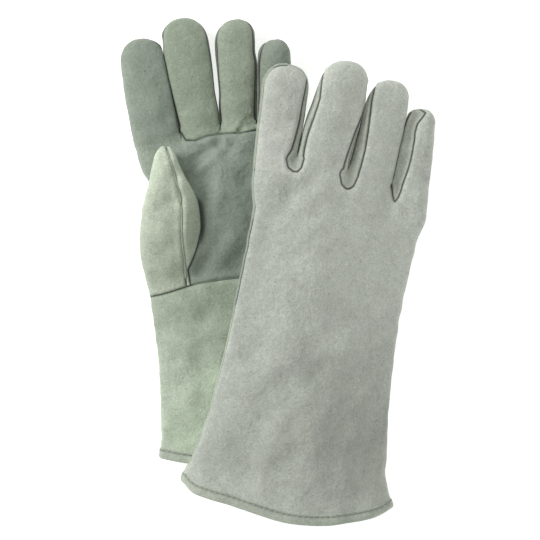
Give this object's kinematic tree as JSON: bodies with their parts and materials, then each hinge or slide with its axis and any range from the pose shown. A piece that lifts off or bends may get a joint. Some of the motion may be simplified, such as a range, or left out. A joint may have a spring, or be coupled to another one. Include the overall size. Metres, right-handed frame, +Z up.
{
  "type": "gauntlet welding gloves",
  "caption": "Pair of long-cuffed split-leather welding gloves, one lying palm up and the other back up across it.",
  "frame": {"origin": "centre of the left glove's wrist seam, on the table plane the gloves lie on", "axes": "+Z up from the table, +Y towards the fingertips, +X towards the right glove's side"},
  "size_m": [0.244, 0.3914, 0.0756],
  "materials": {
    "back_leather": "split leather, soft nap, grey",
    "palm_leather": "split leather, soft nap, grey-green",
    "thumb_leather": "split leather, soft nap, light green-grey",
    "cuff_leather": "split leather, soft nap, green-grey",
    "side_leather": "split leather strips and welts, darker grey",
    "fleece": "brushed cotton fleece lining",
    "thread": "waxed sewing thread"
  },
  "bodies": {
    "left_hand": {"left_back_panel": "back_leather", "left_palm_panel": "palm_leather", "left_cuff_front": "cuff_leather", "left_cuff_hem": "cuff_leather", "left_hem_stitching": "thread", "left_wrist_welt": "side_leather", "left_side_welt": "side_leather", "left_hand_lining": "fleece", "left_cuff_lining": "fleece", "left_thumb_base_outer": "thumb_leather", "left_thumb_base_inner": "palm_leather"},
    "left_thumb": {"left_thumb_outer": "thumb_leather", "left_thumb_inner": "palm_leather", "left_thumb_lining": "fleece"},
    "left_index": {"left_index_back": "back_leather", "left_index_front": "palm_leather", "left_index_fourchette": "side_leather", "left_index_lining": "fleece"},
    "left_middle": {"left_middle_back": "back_leather", "left_middle_front": "palm_leather", "left_middle_fourchettes": "side_leather", "left_middle_lining": "fleece"},
    "left_ring": {"left_ring_back": "back_leather", "left_ring_front": "palm_leather", "left_ring_fourchettes": "side_leather", "left_ring_lining": "fleece"},
    "left_little": {"left_little_back": "back_leather", "left_little_front": "palm_leather", "left_little_fourchette": "side_leather", "left_little_lining": "fleece"},
    "right_hand": {"right_back_panel": "back_leather", "right_palm_panel": "palm_leather", "right_cuff_front": "cuff_leather", "right_cuff_hem": "cuff_leather", "right_hem_stitching": "thread", "right_wrist_welt": "side_leather", "right_side_welt": "side_leather", "right_hand_lining": "fleece", "right_cuff_lining": "fleece", "right_thumb_base_outer": "thumb_leather", "right_thumb_base_inner": "palm_leather"},
    "right_thumb": {"right_thumb_outer": "thumb_leather", "right_thumb_inner": "palm_leather", "right_thumb_lining": "fleece"},
    "right_index": {"right_index_back": "back_leather", "right_index_front": "palm_leather", "right_index_fourchette": "side_leather", "right_index_lining": "fleece"},
    "right_middle": {"right_middle_back": "back_leather", "right_middle_front": "palm_leather", "right_middle_fourchettes": "side_leather", "right_middle_lining": "fleece"},
    "right_ring": {"right_ring_back": "back_leather", "right_ring_front": "palm_leather", "right_ring_fourchettes": "side_leather", "right_ring_lining": "fleece"},
    "right_little": {"right_little_back": "back_leather", "right_little_front": "palm_leather", "right_little_fourchette": "side_leather", "right_little_lining": "fleece"}
  },
  "joints": [
    {"name": "right_glove_lift", "type": "slide", "parent": "left_hand", "child": "right_hand", "axis": [0, 0, 1], "range_m": [0, 0.2]},
    {"name": "left_index_bend", "type": "hinge", "parent": "left_hand", "child": "left_index", "pos_m": [-0.05983, 0.1001, 0.01388], "axis": [0.9885, 0.1513, 0], "range_deg": [0, 60]},
    {"name": "left_middle_bend", "type": "hinge", "parent": "left_hand", "child": "left_middle", "pos_m": [-0.02583, 0.1053, 0.0122], "axis": [0.9885, 0.1513, 0], "range_deg": [0, 60]},
    {"name": "left_ring_bend", "type": "hinge", "parent": "left_hand", "child": "left_ring", "pos_m": [0.00294, 0.10971, 0.01088], "axis": [0.9885, 0.1513, 0], "range_deg": [0, 50]},
    {"name": "left_little_bend", "type": "hinge", "parent": "left_hand", "child": "left_little", "pos_m": [0.03309, 0.11432, 0.01196], "axis": [0.9885, 0.1513, 0], "range_deg": [0, 20]},
    {"name": "left_thumb_spread", "type": "hinge", "parent": "left_hand", "child": "left_thumb", "pos_m": [-0.04941, 0.05516, 0.0366], "axis": [0, 0, 1], "range_deg": [0, 25]},
    {"name": "right_index_bend", "type": "hinge", "parent": "right_hand", "child": "right_index", "pos_m": [0.03106, 0.07709, 0.05967], "axis": [-0.989, 0.1478, 0], "range_deg": [-30, 10]},
    {"name": "right_middle_bend", "type": "hinge", "parent": "right_hand", "child": "right_middle", "pos_m": [0.06573, 0.0709, 0.05141], "axis": [-0.989, 0.1478, 0], "range_deg": [-30, 15]},
    {"name": "right_ring_bend", "type": "hinge", "parent": "right_hand", "child": "right_ring", "pos_m": [0.10316, 0.0643, 0.02886], "axis": [-0.989, 0.1478, 0], "range_deg": [-30, 8]},
    {"name": "right_little_bend", "type": "hinge", "parent": "right_hand", "child": "right_little", "pos_m": [0.13417, 0.05663, 0.01566], "axis": [-0.989, 0.1478, 0], "range_deg": [-30, 5]},
    {"name": "right_thumb_spread", "type": "hinge", "parent": "right_hand", "child": "right_thumb", "pos_m": [0.03979, 0.02928, 0.03721], "axis": [0, 0, 1], "range_deg": [0, 25]}
  ]
}
